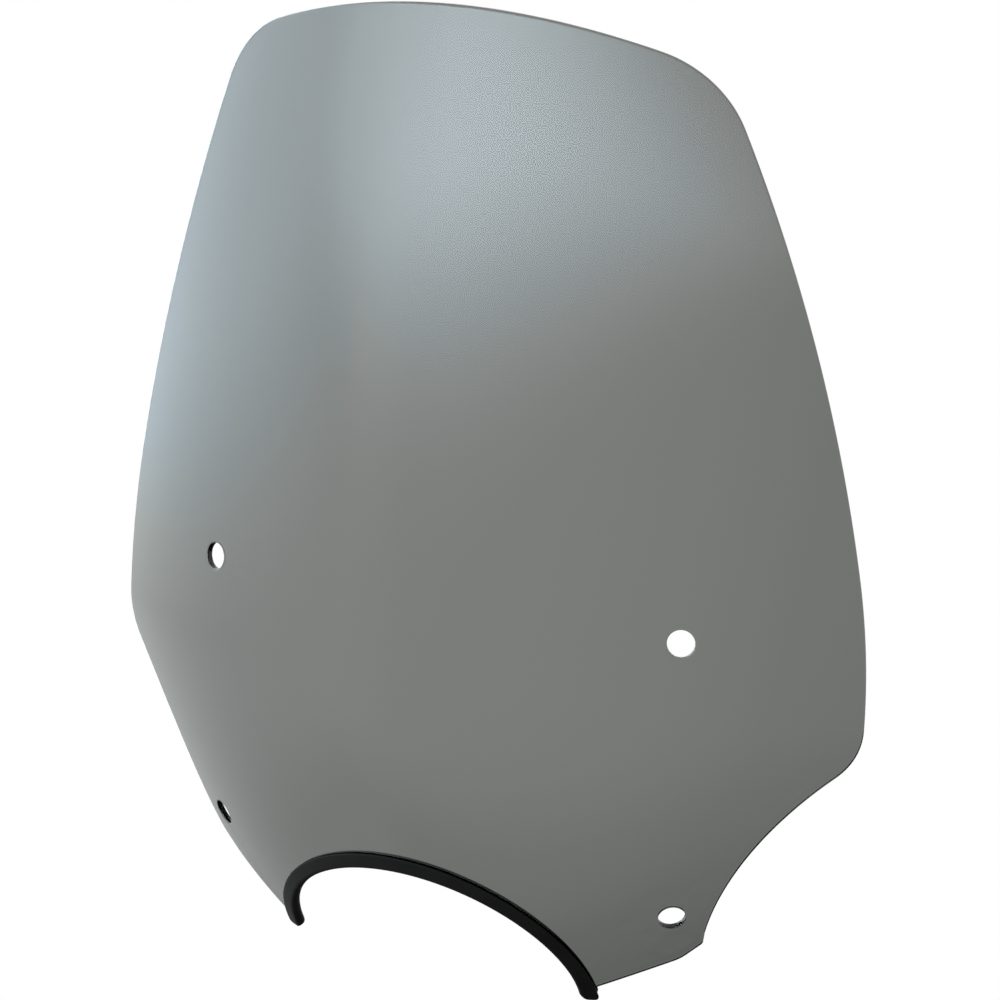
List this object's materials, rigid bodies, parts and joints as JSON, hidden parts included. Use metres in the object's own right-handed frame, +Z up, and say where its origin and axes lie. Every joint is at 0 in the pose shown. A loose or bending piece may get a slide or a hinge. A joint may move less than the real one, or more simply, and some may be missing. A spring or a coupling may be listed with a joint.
{
  "type": "motorcycle windshield screen",
  "caption": "Smoke-tinted compound-curved windshield screen with a headlight cut-out edged in rubber trim and mounting holes.",
  "frame": {"origin": "centre of the overall box, on the plane of left-right symmetry", "axes": "+X right seen from the front, -Y the way the bulging front face looks, +Z up the screen"},
  "size_m": [0.3934, 0.0926, 0.4558],
  "materials": {
    "smoke_sheet": "transparent smoke-grey, glossy, polished edges",
    "edge_rubber": "satin black extruded rubber"
  },
  "bodies": {
    "root": {"screen": "smoke_sheet", "headlight_trim": "edge_rubber"}
  },
  "joints": []
}
